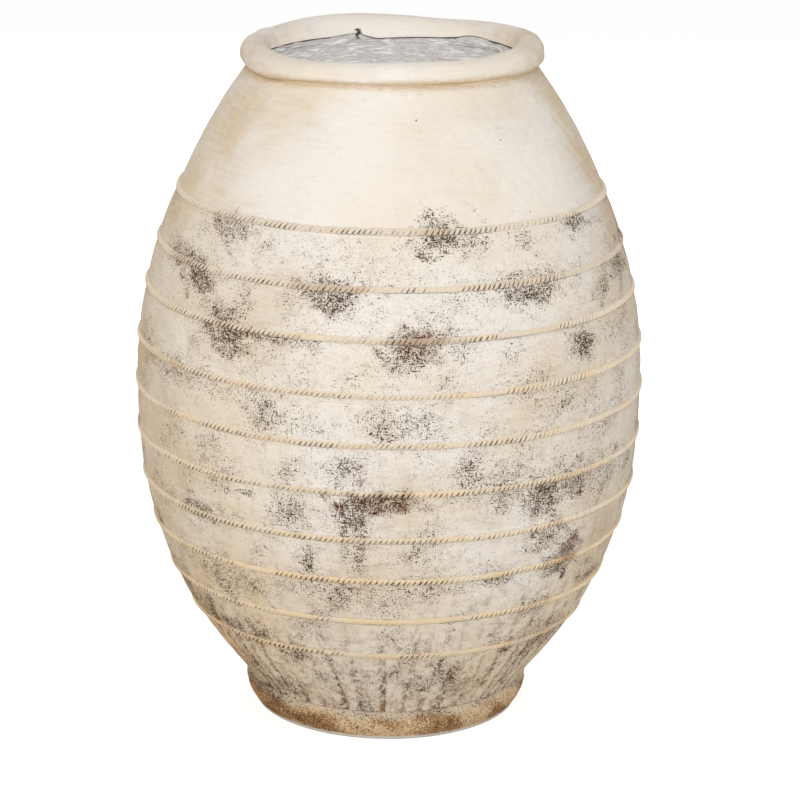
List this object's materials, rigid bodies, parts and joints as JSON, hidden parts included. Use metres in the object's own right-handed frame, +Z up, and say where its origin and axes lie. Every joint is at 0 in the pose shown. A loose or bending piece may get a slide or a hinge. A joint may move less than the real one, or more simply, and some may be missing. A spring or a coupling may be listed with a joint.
{
  "type": "greek pithos",
  "caption": "Large hand-built clay storage jar with rope cordons round its swelling body, a plain shoulder, a rolled rim and a narrow flat foot.",
  "frame": {"origin": "centre of the foot on the ground", "axes": "+Z up along the jar's axis, out of the mouth; -Y is the side that the picture shows"},
  "size_m": [0.5765, 0.5766, 0.775],
  "materials": {
    "washed_clay": "matt lime-washed terracotta with canvas marks and brown stains",
    "cordon_clay": "matt tan clay, pressed into a rope pattern and worn",
    "foot_clay": "matt brown speckled clay"
  },
  "bodies": {
    "root": {"base_slab": "foot_clay", "wall_course_1": "washed_clay", "wall_course_2": "washed_clay", "wall_course_3": "washed_clay", "wall_course_4": "washed_clay", "wall_course_5": "washed_clay", "shoulder_course": "washed_clay", "rim_roll": "washed_clay", "rope_cordon_01": "cordon_clay", "rope_cordon_02": "cordon_clay", "rope_cordon_03": "cordon_clay", "rope_cordon_04": "cordon_clay", "rope_cordon_05": "cordon_clay", "rope_cordon_06": "cordon_clay", "rope_cordon_07": "cordon_clay", "rope_cordon_08": "cordon_clay", "rope_cordon_09": "cordon_clay", "rope_cordon_10": "cordon_clay"}
  },
  "joints": []
}
